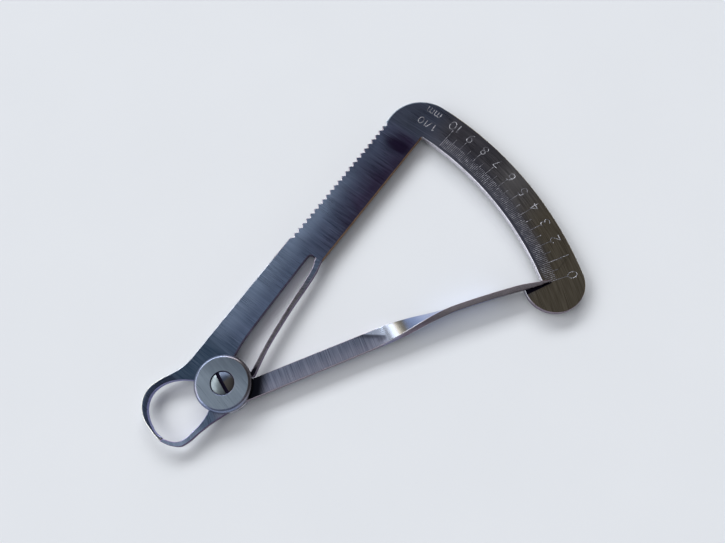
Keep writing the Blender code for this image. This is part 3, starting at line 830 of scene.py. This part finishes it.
# Single-line letters, one unit high and centred; each stroke is a row of points and starts afresh
SIX = [bow(0, -0.2, 0.28, 0.3, 0, 360), bow(0.3, -0.1, 0.58, 0.62, 172, 100)]
STROKES = {
    "0": [bow(0, 0, 0.33, 0.5, 0, 360)],
    "1": [[(0.05, -0.5), (0.05, 0.5)], [(0.05, 0.5), (-0.16, 0.3)]],
    "2": [bow(0, 0.22, 0.29, 0.28, 165, -30), [(0.25, 0.08), (-0.3, -0.5)],
          [(-0.3, -0.5), (0.32, -0.5)]],
    "3": [bow(-0.02, 0.25, 0.26, 0.25, 150, -90), bow(-0.02, -0.25, 0.3, 0.25, 90, -150)],
    "4": [[(0.12, -0.5), (0.12, 0.5)], [(0.12, 0.5), (-0.3, -0.18)],
          [(-0.3, -0.18), (0.32, -0.18)]],
    "5": [[(0.27, 0.5), (-0.2, 0.5)], [(-0.2, 0.5), (-0.23, 0.04)],
          bow(0, -0.18, 0.3, 0.32, 140, -150)],
    "6": SIX,
    "7": [[(-0.3, 0.5), (0.3, 0.5)], [(0.3, 0.5), (-0.08, -0.5)]],
    "8": [bow(0, 0.25, 0.22, 0.25, 0, 360), bow(0, -0.25, 0.28, 0.25, 0, 360)],
    "9": [[(-x, -y) for x, y in stroke] for stroke in SIX],
    "m": [[(-0.4, -0.5), (-0.4, 0.2)], bow(-0.2, 0, 0.2, 0.2, 180, 0) + [(0, -0.5)],
          bow(0.2, 0, 0.2, 0.2, 180, 0) + [(0.4, -0.5)]],
    "/": [[(-0.2, -0.5), (0.2, 0.5)]],
}
# How far the pen moves on past the letters of longer words
ADVANCE = {"m": 1.1, "1": 0.8, "/": 0.45, "0": 0.86}


def grooves(words, layer):
    """One diamond-section bar for a stroke of each letter; it cuts a V-shaped groove."""
    curve = bpy.data.curves.new("strokes", "CURVE")
    curve.dimensions = "3D"
    curve.twist_mode = "Z_UP"
    curve.bevel_depth = GROOVE
    curve.bevel_resolution = 0
    curve.use_fill_caps = True
    for body, place, up, height in words:
        right = up.cross(Vector((0, 0, 1)))
        pen = -sum(ADVANCE.get(letter, 0) for letter in body[:-1]) / 2
        for letter in body:
            if layer < len(STROKES[letter]):
                stroke = STROKES[letter][layer]
                loop = math.dist(stroke[0], stroke[-1]) < 0.001
                points = stroke[:-1] if loop else stroke
                spline = curve.splines.new("POLY")
                spline.points.add(len(points) - 1)
                spline.use_cyclic_u = loop
                for point, (x, y) in zip(spline.points, points):
                    point.co = (*(place + height * ((pen + x) * right + y * up)), 1)
            pen += ADVANCE.get(letter, 0)
    bars = add_object("strokes", curve)
    mesh = evaluated_mesh(bars)
    bpy.data.objects.remove(bars)
    flatten = Matrix.Scale(GROOVE_DEPTH_SHARE, 4, (0, 0, 1))
    mesh.transform(Matrix.Translation((0, 0, SHEET_FRONT)) @ flatten
                   @ Matrix.Translation((0, 0, -SHEET_FRONT)))
    return mesh


def cut_piece(piece, tool, index):
    """Cut a bmesh out of a piece, and give the cut faces one of its materials."""
    for face in tool.faces:
        face.material_index = index
    mesh = bpy.data.meshes.new("tool")
    tool.to_mesh(mesh)
    tool.free()
    for item in piece.data.materials:
        mesh.materials.append(item)
    cutter = add_object("tool", mesh)
    cut = piece.modifiers.new("cut", "BOOLEAN")
    cut.operation = "DIFFERENCE"
    cut.solver = "EXACT"
    cut.object = cutter
    result = evaluated_mesh(piece)
    piece.modifiers.clear()
    piece.data = result
    bpy.data.objects.remove(cutter)


def engrave(piece, words, index):
    """Cut words into the front of the sheet, one stroke of every letter at a time."""
    for layer in range(max(len(strokes) for strokes in STROKES.values())):
        mesh = grooves(words, layer)
        bm = bmesh.new()
        bm.from_mesh(mesh)
        bpy.data.meshes.remove(mesh)
        bmesh.ops.remove_doubles(bm, verts=bm.verts, dist=WELD)
        bmesh.ops.recalc_face_normals(bm, faces=bm.faces)
        cut_piece(piece, bm, index)


def scale_words():
    """The numbers along the arc, the unit and the division, with their tops towards the pivot."""
    words = []
    for number in range(SCALE_UNITS + 1):
        outward = direction(ZERO_DEGREES + SWEEP_DEGREES * number / SCALE_UNITS)
        place = outward * DIGIT_RADIUS + Vector((0, 0, SHEET_FRONT))
        words.append((str(number), place, -outward, DIGIT_HEIGHT))
    for body, place, height in (("mm", UNIT_PLACE, UNIT_HEIGHT),
                                ("1/10", DIVISION_PLACE, DIVISION_HEIGHT)):
        words.append((body, Vector((*place, SHEET_FRONT)), Vector((-1, 0, 0)), height))
    return words


def on_step(face):
    """True for a face of the foot's step, which the pointer comes to rest against."""
    centre = face.calc_center_median()
    faces_pointer = face.normal.dot(direction(ZERO_DEGREES + 90)) > STEP_SHARE
    return faces_pointer and centre.xy.length > STEP_START and centre.y < STEP_LEVEL


def fit_step(bm):
    """Draw the foot's step up to the flank of the pointer that rests beside it."""
    across = direction(ZERO_DEGREES + 90)
    lever = BVHTree.FromBMesh(node_mesh("pointer_lever"))
    long_edges = {edge for face in bm.faces if on_step(face) for edge in face.edges
                  if abs(edge.verts[0].co.z - edge.verts[1].co.z) < WELD}
    bmesh.ops.subdivide_edges(bm, edges=list(long_edges), cuts=STEP_CUTS)
    for vert in {vert for face in bm.faces if on_step(face) for vert in face.verts}:
        distance = lever.ray_cast(vert.co, across)[3]
        if distance and distance < STEP_REACH:
            vert.co += across * (distance - STEP_GAP)


def make_frame_plate():
    """The bar, arc, foot and upper jaw, with no rim under the disc, at the leaf and at the step."""
    bm = node_mesh("frame_plate")
    fit_step(bm)

    def skip(edge):
        middle = middle_of(edge)
        under_disc = middle.xy.length < EYE_COVER
        at_leaf = abs(middle.x - SLOT_END) < NEAR and middle.y < SLOT_SIDE
        return under_disc or at_leaf or any(on_step(face) for face in edge.link_faces)

    round_rims(bm, sheet_rims(bm, skip), RIM)
    sheet_slots(bm)
    piece = add_piece("frame_plate_dressed", bm, "frame_plate", [
        ground("frame_ground", plate_grain, plate_tint),
        rim_finish("frame_rim", (0.52, 0.55, 0.62), FRAME_RIM_ZONES),
        wall_finish("frame_wall", (0.55, 0.53, 0.60), FRAME_WALL_ZONES),
        mark_finish("tick_mark", (0.16, 0.16, 0.20), (0.95, 0.95, 1.0), 0.6),
        mark_finish("digit_mark", (0.12, 0.12, 0.14), (0.66, 0.67, 0.73), 0.95)])
    engrave(piece, scale_words(), FIGURE)
    shade(piece.data)
    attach(piece, "frame")


def make_leaf_spring():
    """The leaf, drawn out at its root to the frame that it is cut from."""
    bm = node_mesh("leaf_spring", join=False)
    for vert in bm.verts:
        if vert.co.x > LEAF_ROOT - NEAR:
            vert.co.x = SLOT_END

    def skip(edge):
        return all(vert.co.x > SLOT_END - NEAR for vert in edge.verts)

    round_rims(bm, sheet_rims(bm, skip), RIM)
    sheet_slots(bm)
    piece = add_piece("leaf_spring_dressed", bm, "leaf_spring", [
        ground("leaf_ground", turned_grain(20), leaf_tint),
        rim_finish("leaf_rim", (0.32, 0.29, 0.36)),
        wall_finish("leaf_wall", (0.20, 0.14, 0.26))])
    shade(piece.data)
    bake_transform(piece)


def on_arm(along, across):
    """Point by its distance along the pointer arm and across it."""
    return along * direction(ARM_DEGREES) + across * direction(ARM_DEGREES + 90)


def blade_place(radius):
    """Point on the middle line of the blade beyond its crest, and its heading there."""
    share = (radius - BLADE_CREST_RADIUS) / BLADE_END_LENGTH
    slope = 3 * share ** 2 * BLADE_LIFT / BLADE_END_LENGTH
    lift = BLADE_LIFT * (1 - share ** 3)
    return (radius * direction(ZERO_DEGREES) + lift * direction(ZERO_DEGREES + 90),
            ZERO_DEGREES - math.degrees(math.atan(slope)))


def between(low, high, share):
    return low + (high - low) * share


def blade_sections():
    """Sections from the seam to the tip: middle, level, heading, twist, height and thickness."""
    sheet = SHEET_FRONT - SHEET_BACK
    start = on_arm(TWIST_START, -ARM_OFFSET)
    crest, crest_heading = blade_place(BLADE_CREST_RADIUS)
    handle = (crest - start).length / 3
    near = start + handle * direction(ARM_DEGREES)
    far = crest - handle * direction(crest_heading)
    twist_share = TWIST_LENGTH / (TWIST_LENGTH + BLADE_RISE_LENGTH)
    sections = [(on_arm(SEAM, -ARM_OFFSET), SHEET_MIDDLE, ARM_DEGREES, 0, ARM_WIDTH, sheet)]
    for i in range(BLADE_STEPS + 1):
        t = i / BLADE_STEPS
        rest = 1 - t
        place = (rest ** 3 * start + 3 * rest ** 2 * t * near
                 + 3 * rest * t ** 2 * far + t ** 3 * crest)
        twisted = min(1, t / twist_share)
        turn = twisted - TWIST_EASE_SHARE * math.sin(2 * math.pi * twisted) / (2 * math.pi)
        heading = between(ARM_DEGREES, crest_heading, t)
        height, thickness = (between(low, high, twisted) for low, high in (
            (ARM_WIDTH, BLADE_HEIGHT), (sheet, BLADE_THICKNESS)))
        sections.append((place, SHEET_MIDDLE, heading, TWIST_DEGREES * turn, height, thickness))
    notch = STEP_RADIUS - TIP_GAP
    for i in range(1, BLADE_END_STEPS + 1):
        radius = between(BLADE_CREST_RADIUS, STEP_RADIUS - TIP_TAPER_LENGTH, i / BLADE_END_STEPS)
        place, heading = blade_place(radius)
        drop = (radius - BLADE_CREST_RADIUS) / (notch - BLADE_CREST_RADIUS)
        sections.append((place, SHEET_MIDDLE, heading, TWIST_DEGREES,
                         between(BLADE_HEIGHT, BLADE_END_HEIGHT, drop), BLADE_THICKNESS))
    top = SHEET_MIDDLE + BLADE_END_HEIGHT / 2
    bottom = SHEET_FRONT + TIP_GAP
    for radius, low, high, thickness in (
            (notch, top - BLADE_END_HEIGHT, top, TIP_ROOT_THICKNESS),
            (STEP_RADIUS, bottom, top, TIP_ROOT_THICKNESS),
            (TIP_RADIUS, bottom, bottom + TIP_HEIGHT, TIP_THICKNESS)):
        place, heading = blade_place(radius)
        sections.append((place, (low + high) / 2, heading, TWIST_DEGREES, high - low, thickness))
    return sections


def section_points(height, thickness):
    """Rounded rectangle about the origin, with the material of the stretch that follows each point.

    The broad sides have more points, closest at their ends, so that the twist bends smoothly.
    """
    rim = min(BLADE_RIM, BLADE_RIM_SHARE * thickness, BLADE_RIM_SHARE * height)
    wide, thin = height / 2 - rim, thickness / 2 - rim
    points = []
    for number, (a, b) in enumerate(((wide, thin), (-wide, thin), (-wide, -thin), (wide, -thin))):
        for i in range(RIM_STEPS + 1):
            turn = math.radians(90 * (number + i / RIM_STEPS))
            points.append((a + rim * math.cos(turn), b + rim * math.sin(turn), EDGE))
        broad = number % 2 == 0
        end_x, end_y = points[-1][:2]
        points[-1] = (end_x, end_y, FACE if broad else WALL)
        if broad:
            points += [(end_x * (1 - 2 * share), end_y, FACE) for share in BROAD_SHARES]
    return points


def grow_blade(bm):
    """Add the blade as a loft of its sections, closed at both ends."""
    rings = []
    for middle, level, heading, turn, height, thickness in blade_sections():
        across = direction(heading + 90)
        cosine, sine = math.cos(math.radians(turn)), math.sin(math.radians(turn))
        ring = []
        for a, b, index in section_points(height, thickness):
            place = middle + across * (a * cosine + b * sine)
            ring.append((bm.verts.new((place.x, place.y, level - a * sine + b * cosine)), index))
        rings.append(ring)
    added = []
    for ring, following in zip(rings, rings[1:]):
        for i in range(len(ring)):
            j = (i + 1) % len(ring)
            face = bm.faces.new((ring[i][0], ring[j][0], following[j][0], following[i][0]))
            face.material_index = ring[i][1]
            added.append(face)
    for ring in (rings[0], rings[-1]):
        added.append(bm.faces.new([vert for vert, index in ring]))
        added[-1].material_index = EDGE
    bmesh.ops.recalc_face_normals(bm, faces=added)


def make_pointer_lever():
    """The lever's flat stretch from its CAD node, and its twisted blade as a fine loft."""
    bm = node_mesh("pointer_lever")
    bmesh.ops.bisect_plane(bm, geom=bm.verts[:] + bm.edges[:] + bm.faces[:],
                           plane_co=on_arm(SEAM, 0), plane_no=direction(ARM_DEGREES),
                           clear_outer=True)
    edges = []
    for edge in bm.edges:
        if len(edge.link_faces) != 2:
            continue
        steep = abs((edge.verts[0].co - edge.verts[1].co).normalized().z) > STEEP_SHARE
        sharp = edge.calc_face_angle(0) > math.radians(SHARP_DEGREES)
        if sharp and not steep and middle_of(edge).xy.length > EYE_COVER:
            edges.append(edge)
    for face in bm.faces:
        face.material_index = FACE if is_flat(face) else WALL
    for face in round_rims(bm, edges, BLADE_RIM):
        face.material_index = EDGE
    opening = [edge for edge in bm.edges if edge.is_boundary]
    bmesh.ops.holes_fill(bm, edges=opening, sides=0)
    grow_blade(bm)
    piece = add_piece("pointer_lever_dressed", bm, "pointer_lever", [
        ground("lever_ground", turned_grain(ARM_DEGREES), arm_tint, polish=arm_polish),
        rim_finish("lever_rim", (0.55, 0.50, 0.56), LEVER_RIM_ZONES),
        wall_finish("lever_wall", (0.42, 0.36, 0.44), LEVER_WALL_ZONES)])
    shade(piece.data)
    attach(piece, "lever")


def turned(profile, steps):
    """Closed body turned round the pivot axis from (radius, height) points."""
    bm = bmesh.new()
    verts = [bm.verts.new((radius, 0, height)) for radius, height in profile]
    edges = [bm.edges.new((a, b)) for a, b in zip(verts, verts[1:])]
    if profile[0][0] > 0:
        edges.append(bm.edges.new((verts[-1], verts[0])))
    bmesh.ops.spin(bm, geom=verts + edges, cent=(0, 0, 0), axis=(0, 0, 1), angle=2 * math.pi,
                   steps=steps, use_merge=True)
    bmesh.ops.remove_doubles(bm, verts=bm.verts, dist=WELD)
    bmesh.ops.recalc_face_normals(bm, faces=bm.faces)
    return bm


def corner(radius, height, size, start, steps):
    """Quarter round of a profile, from an angle through a right angle clockwise."""
    points = []
    for i in range(steps + 1):
        turn = math.radians(start - 90 * i / steps)
        points.append((radius + size * math.cos(turn), height + size * math.sin(turn)))
    return points


def make_front_disc():
    """Disc with a rounded edge and a recess for the screw's head."""
    floor = DISC_FRONT - DISC_RECESS
    profile = [*corner(DISC_BORE + SHARP_LIP, DISC_FRONT - SHARP_LIP, SHARP_LIP, 180, 3),
               *corner(DISC_RADIUS - DISC_EDGE, DISC_FRONT - DISC_EDGE, DISC_EDGE, 90, 10),
               *corner(DISC_RADIUS - SHARP_LIP, DISC_BACK + SHARP_LIP, SHARP_LIP, 0, 3),
               (SHANK_HOLE, DISC_BACK), (SHANK_HOLE, floor), (DISC_BORE, floor)]
    bm = turned(profile, TURNED_STEPS)
    for face in bm.faces:
        centre = face.calc_center_median()
        inside = centre.xy.length < DISC_BORE + 0.7 * SHARP_LIP
        if inside and centre.z < DISC_FRONT - 0.3 * SHARP_LIP:
            face.material_index = RECESS
        else:
            face.material_index = FACE if face.normal.z > LEVEL_SHARE else EDGE
    piece = add_piece("front_disc_dressed", bm, "front_disc", [
        ground("disc_ground", turned_grain(-12), disc_tint, (0.26, 0.42)),
        polished("disc_edge", (0.20, 0.20, 0.25), (0.32, 0.32, 0.40), (0.24, 0.36),
                 DISC_EDGE_PAINTED_LIGHT),
        # Painted shade in the screw's recess
        plain_dark("disc_recess", (0.09, 0.08, 0.26), 0.35)])
    shade(piece.data)
    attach(piece, "frame")


def make_rear_nut():
    """Flanged nut whose barrel carries both eyes, closed at the back."""
    profile = [(0, NUT_BORE_FLOOR), (SHANK_HOLE, NUT_BORE_FLOOR), (SHANK_HOLE, SHEET_FRONT),
               (NUT_BARREL, SHEET_FRONT), (NUT_BARREL, NUT_FLANGE),
               *corner(NUT_RADIUS - NUT_LIP, NUT_FLANGE - NUT_LIP, NUT_LIP, 90, 3),
               *corner(NUT_RADIUS - NUT_LIP, NUT_LIP, NUT_LIP, 0, 4), (0, 0)]
    bm = turned(profile, TURNED_STEPS)
    for face in bm.faces:
        face.material_index = FACE if face.normal.z < -LEVEL_SHARE else EDGE
    piece = add_piece("rear_nut_dressed", bm, "rear_nut", [
        ground("nut_ground", arc_grain, disc_tint, (0.26, 0.42)),
        polished("nut_edge", (0.36, 0.36, 0.42), (0.60, 0.60, 0.68))])
    shade(piece.data)
    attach(piece, "frame")


def make_pivot_screw():
    """Slotted screw with a domed head, its edge sunk in the disc's recess."""
    low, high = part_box("pivot_screw")
    radius, top = high.x, high.z
    dome = (radius ** 2 + HEAD_RISE ** 2) / (2 * HEAD_RISE)
    half = math.degrees(math.asin(radius / dome))
    steps = 14
    profile = [(0, top)]
    for i in range(1, steps + 1):
        turn = math.radians(half * i / steps)
        profile.append((dome * math.sin(turn), top - dome * (1 - math.cos(turn))))
    profile += [(radius, HEAD_BACK), (SCREW_SHANK, HEAD_BACK), (SCREW_SHANK, low.z), (0, low.z)]
    bm = turned(profile, SCREW_STEPS)
    piece = add_piece("pivot_screw_dressed", bm, "pivot_screw", [
        polished("screw_polished", (0.15, 0.18, 0.20), (0.22, 0.26, 0.28), (0.32, 0.44),
                 SCREW_PAINTED_SHADE),
        # Painted shade in the screw's slot
        plain_dark("screw_slot", (0.015, 0.012, 0.03), 0.4)])
    tool = bmesh.new()
    box = bmesh.ops.create_cube(tool, size=1)["verts"]
    height = 4 * SLOT_DEPTH
    bmesh.ops.scale(tool, verts=box, vec=(3 * radius, SLOT_WIDTH, height))
    turn = Matrix.Rotation(math.radians(SLOT_DEGREES), 3, "Z")
    bmesh.ops.rotate(tool, verts=box, cent=(0, 0, 0), matrix=turn)
    bmesh.ops.translate(tool, verts=box, vec=(0, 0, top - SLOT_DEPTH + height / 2))
    cut_piece(piece, tool, SLOT)
    shade(piece.data)
    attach(piece, "frame")


def make_floor():
    """Pale matt floor just below the part."""
    bm = bmesh.new()
    bmesh.ops.create_grid(bm, x_segments=1, y_segments=1, size=FLOOR_HALF)
    bmesh.ops.translate(bm, verts=bm.verts, vec=(0, 0, -FLOOR_GAP))
    mesh = bpy.data.meshes.new("floor")
    bm.to_mesh(mesh)
    bm.free()
    f = Finish("floor_paper")
    f.shader.inputs["Metallic"].default_value = 0
    f.shader.inputs["Specular IOR Level"].default_value = 0.0
    grain = f.speckle(30, 3)
    mesh.materials.append(f.finish(f.mix(grain, (0.77, 0.80, 0.84), (0.80, 0.83, 0.87)), 0.8))
    floor = add_object("floor", mesh)


def make_world():
    """Studio dome: light low down and overhead, dark in between, and brighter beyond the jaws."""
    world = bpy.data.worlds.new("studio")
    bpy.context.scene.world = world
    world.use_nodes = True
    tree = world.node_tree
    split = tree.nodes.new("ShaderNodeSeparateXYZ")
    tree.links.new(tree.nodes.new("ShaderNodeTexCoord").outputs["Generated"], split.inputs[0])
    ramp = tree.nodes.new("ShaderNodeValToRGB")
    elements = ramp.color_ramp.elements
    while len(elements) < len(DOME):
        elements.new(0.5)
    for element, (place, value) in zip(elements, DOME):
        element.position = place
        element.color = (value, value, value * DOME_BLUE_SHARE, 1)
    tree.links.new(split.outputs["Z"], ramp.inputs[0])
    side = tree.nodes.new("ShaderNodeMapRange")
    for socket, value in zip(list(side.inputs)[1:5], (-1, 1, DOME_AT_JAWS, DOME_AT_ARC)):
        socket.default_value = value
    tree.links.new(split.outputs["X"], side.inputs[0])
    tree.links.new(ramp.outputs[0], tree.nodes["Background"].inputs["Color"])
    tree.links.new(side.outputs[0], tree.nodes["Background"].inputs["Strength"])


def softbox(name, azimuth, elevation, width, height, radiance):
    """Rectangular light that faces the object, sized by the degrees it fills as seen from there."""
    light = bpy.data.lights.new(name, "AREA")
    light.shape = "RECTANGLE"
    light.size = 2 * LAMP_DISTANCE * math.tan(math.radians(width / 2))
    light.size_y = 2 * LAMP_DISTANCE * math.tan(math.radians(height / 2))
    light.energy = math.pi * light.size * light.size_y * radiance
    lamp = add_object(name, light)
    towards = direction(azimuth) * math.cos(math.radians(elevation))
    towards.z = math.sin(math.radians(elevation))
    lamp.location = LAMP_AIM + towards * LAMP_DISTANCE
    lamp.rotation_euler = towards.to_track_quat("Z", "Y").to_euler()
    lamp.visible_camera = False


def make_camera():
    """The photo's viewpoint, worked out from the scale's angles and radii."""
    data = bpy.data.cameras.new("camera")
    data.lens = CAMERA_LENS
    data.clip_start = 0.01
    camera = add_object("camera", data)
    camera.location = CAMERA_PLACE
    camera.rotation_euler = [math.radians(angle) for angle in CAMERA_DEGREES]
    bpy.context.scene.camera = camera


make_camera()
make_world()
softbox("key", azimuth=56, elevation=35, width=70, height=18, radiance=7.0)
softbox("fill", azimuth=132, elevation=38, width=45, height=30, radiance=3.0)
make_floor()
make_frame_plate()
make_leaf_spring()
make_pointer_lever()
make_front_disc()
make_rear_nut()
make_pivot_screw()
bpy.context.scene.view_settings.view_transform = "Standard"
